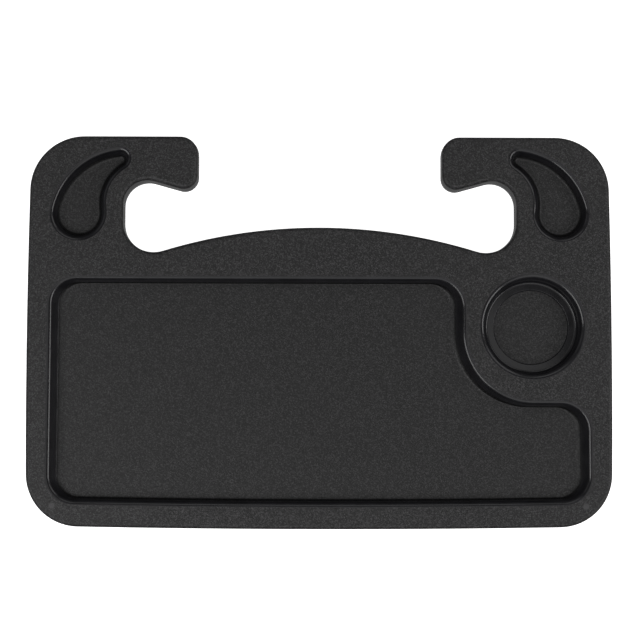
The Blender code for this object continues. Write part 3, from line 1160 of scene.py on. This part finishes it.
@dataclass(frozen=True)
class CuredAdhesive:
    """The satin bead of adhesive at the seam."""

    light: Colour = (0.34, 0.32, 0.27)
    dark: Colour = (0.24, 0.22, 0.18)
    roughness: Span = (0.4, 0.6)
    cloud_scale: float = 180.0
    ripple_depth: float = 0.1 * MM
    ripple_strength: float = 0.5

    def material(self) -> bpy.types.Material:
        """Makes the material.

        Returns:
            The material.
        """
        sheet = NodeSheet(bpy.data.materials.new("cured_adhesive"))
        cloud = sheet.clouds(self.cloud_scale, CLOUD_DETAIL)
        return sheet.finish(
            SURFACE,
            Base_Color=sheet.blend(cloud, self.dark, self.light),
            Roughness=sheet.spread(cloud, CLOUD_SPAN, self.roughness),
            Normal=sheet.relief(cloud, self.ripple_depth, self.ripple_strength),
        )


@dataclass(frozen=True)
class ClosedCellFoam:
    """The dark foam of the pads."""

    cell: Colour = (0.028, 0.028, 0.031)
    skin: Colour = (0.062, 0.062, 0.068)
    roughness: Span = (0.98, 0.85)
    cell_scale: float = 1400.0
    cell_span: Span = (0.0, 0.7)
    cell_depth: float = 0.15 * MM
    cell_strength: float = 0.7

    def material(self) -> bpy.types.Material:
        """Makes the material.

        Returns:
            The material.
        """
        sheet = NodeSheet(bpy.data.materials.new("closed_cell_foam"))
        depth = sheet.cells(self.cell_scale)["Distance"]
        return sheet.finish(
            SURFACE,
            Base_Color=sheet.blend(depth, self.cell, self.skin),
            Roughness=sheet.spread(depth, self.cell_span, self.roughness),
            Normal=sheet.relief(depth, self.cell_depth, self.cell_strength),
        )


def dress(piece: Piece, material: bpy.types.Material) -> None:
    """Gives a piece its finish, in every slot that it has.

    Args:
        piece: The piece.
        material: The finish.
    """
    if not piece.material_slots:
        piece.data.materials.append(material)
    for place in piece.material_slots:
        place.material = material


@dataclass(frozen=True)
class Tray:
    """The whole tray, in the order that it is made."""

    build: Build = Build()
    edge: TrayEdge = TrayEdge()

    def model_shells(self) -> None:
        """Models the two shells and sets them in the frame."""
        recess = FoodRecess(self.edge)
        cup = CupWell(self.edge, recess.top)
        pocket = ArmPocket(self.edge)
        height = self.build.thickness
        pockets = [pocket.model(height, on_left) for on_left in (True, False)]
        food_skins = [recess.model(cup, height), cup.model(height), *pockets]
        laptop_skins = LaptopPanel(self.edge, recess.top).model()
        food = Shell("food_side_shell", "front_shell", Facing.FOOD_SIDE, self.edge, self.build)
        laptop = Shell("laptop_side_shell", "back_shell", Facing.LAPTOP_SIDE, self.edge, self.build)
        for shell, skins in ((food, food_skins), (laptop, laptop_skins)):
            piece = shell.model(skins)
            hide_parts(shell.node)
            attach(piece, "root")
            LOG.info("%s: %d faces", piece.name, len(piece.data.polygons))

    def dress_inner_pieces(self) -> None:
        """Gives the bead of adhesive and the foam pads their finishes."""
        finishes = {Slot.BOND.value: CuredAdhesive().material(), Slot.FOAM.value: ClosedCellFoam().material()}
        slots = {part["node"]: part["material_slot"] for part in frame["record"]["subparts"]}
        for name, node in frame["nodes"].items():
            if slots[name] in finishes:
                dress(node, finishes[slots[name]])
                LOG.info("%s: finished as %s", name, slots[name])


@dataclass(frozen=True)
class SoftBox:
    """A soft light that looks at the tray.

    The azimuth runs from +X to +Y and the lean from straight up, in degrees. The power is in watts.
    """

    name: str
    azimuth: float
    lean: float
    distance: float
    width: float
    height: float
    power: float

    def place(self) -> None:
        """Adds the light, turned to the tray's middle."""
        bearing, lean = math.radians(self.azimuth), math.radians(self.lean)
        away = Vector((math.sin(lean) * math.cos(bearing), math.sin(lean) * math.sin(bearing), math.cos(lean)))
        light = bpy.data.lights.new(self.name, "AREA")
        light.shape = "RECTANGLE"
        light.size, light.size_y, light.energy = self.width, self.height, self.power
        lamp = bpy.data.objects.new(self.name, light)
        lamp.location = away * self.distance
        lamp.rotation_euler = (-away).to_track_quat("-Z", "Y").to_euler()
        bpy.context.scene.collection.objects.link(lamp)


@dataclass(frozen=True)
class Studio:
    """A pale floor, a dim sky and soft boxes.

    The floor isn't mirrored. The sky is paler below, where only steep walls mirror it, in the floor's place.
    """

    floor_size: float = 60.0
    floor_drop: float = 0.1 * MM
    floor_colour: Colour = (0.92, 0.92, 0.92)
    floor_shade: Colour = (0.90, 0.90, 0.90)
    floor_clouds: float = 3.0
    floor_detail: float = 2.0
    floor_roughness: float = 0.9
    floor_glow: float = 1.0
    sky: float = 0.13
    low_sky: float = 0.27
    low_span: Span = (-0.9, -0.3)
    lamps: tuple[SoftBox, ...] = (
        SoftBox("light_right", 347, 56, 1.8, 1.3, 0.5, 8.5),
        SoftBox("light_front_left", 210, 44, 1.4, 1.2, 0.5, 7.0),
        SoftBox("light_above", 270, 12, 2.4, 1.5, 2.0, 6.2),
        SoftBox("light_back_right", 40, 50, 1.8, 0.9, 0.9, 2.7),
        SoftBox("light_back", 90, 42, 1.8, 0.9, 0.7, 1.6),
        SoftBox("light_back_left", 150, 62, 1.8, 0.9, 0.9, 0.6),
        SoftBox("light_front", 285, 45, 1.2, 1.2, 0.6, 2.0),
    )

    def lay_floor(self) -> None:
        """Lays the floor just under the tray."""
        bpy.ops.object.select_all(action="DESELECT")
        bpy.ops.mesh.primitive_plane_add(size=self.floor_size, location=(0, 0, -self.floor_drop))
        floor = bpy.context.object
        floor.name = "studio_floor"
        sheet = NodeSheet(bpy.data.materials.new("pale_floor"))
        cloud = sheet.clouds(self.floor_clouds, self.floor_detail)
        material = sheet.finish(
            SURFACE,
            Base_Color=sheet.blend(cloud, self.floor_colour, self.floor_shade),
            Roughness=self.floor_roughness,
            Emission_Color=(1, 1, 1, 1),
            Emission_Strength=self.floor_glow,
        )
        floor.data.materials.append(material)
        floor.visible_glossy = False

    def light(self) -> None:
        """Sets the sky and the soft boxes."""
        sheet = NodeSheet(bpy.data.worlds.new("studio_sky"))
        rise = sheet.split(sheet.places["Generated"])["Z"]
        strength = sheet.spread(rise, self.low_span, (self.low_sky, self.sky), "LINEAR")
        bpy.context.scene.world = sheet.finish("Background", Color=(1, 1, 1, 1), Strength=strength)
        for lamp in self.lamps:
            lamp.place()
        bpy.context.scene.view_settings.view_transform = "Standard"


@dataclass(frozen=True)
class PhotoCamera:
    """The photograph's viewpoint: almost straight above the tray, a little towards its near edge."""

    distance: float = 1.1
    lens: float = 86.50
    sensor: float = 36.0
    nearest: float = 0.01
    pitch: float = math.radians(4.2)
    yaw: float = math.radians(-0.39)
    roll: float = math.radians(0.12)
    target: tuple[float, float, float] = (0.00022, 0.00794, 0.020)

    def place(self) -> None:
        """Adds the camera and makes it the scene's."""
        lift = math.cos(self.pitch)
        back = Vector((math.sin(self.yaw) * lift, -math.sin(self.pitch), math.cos(self.yaw) * lift))
        right = Vector((0, 1, 0)).cross(back).normalized()
        above = back.cross(right)
        across = right * math.cos(self.roll) + above * math.sin(self.roll)
        upright = above * math.cos(self.roll) - right * math.sin(self.roll)
        camera = bpy.data.objects.new("photo_camera", bpy.data.cameras.new("photo_camera"))
        camera.data.lens = self.lens
        camera.data.sensor_width = self.sensor
        camera.data.clip_start = self.nearest
        spot = Vector(self.target) + back * self.distance
        camera.matrix_world = Matrix.Translation(spot) @ Matrix((across, upright, back)).transposed().to_4x4()
        bpy.context.scene.collection.objects.link(camera)
        bpy.context.scene.camera = camera


def main() -> None:
    """Builds the camera, the tray and the studio in order."""
    logging.basicConfig(level=logging.INFO, format="%(name)s: %(message)s")
    PhotoCamera().place()
    FINISHES.update({Finish.SATIN: SatinPlastic().material(), Finish.GRAINED: GrainedPlastic().material()})
    tray = Tray()
    tray.model_shells()
    tray.dress_inner_pieces()
    studio = Studio()
    studio.lay_floor()
    studio.light()
    LOG.info("done")


if __name__ == "__main__":
    main()
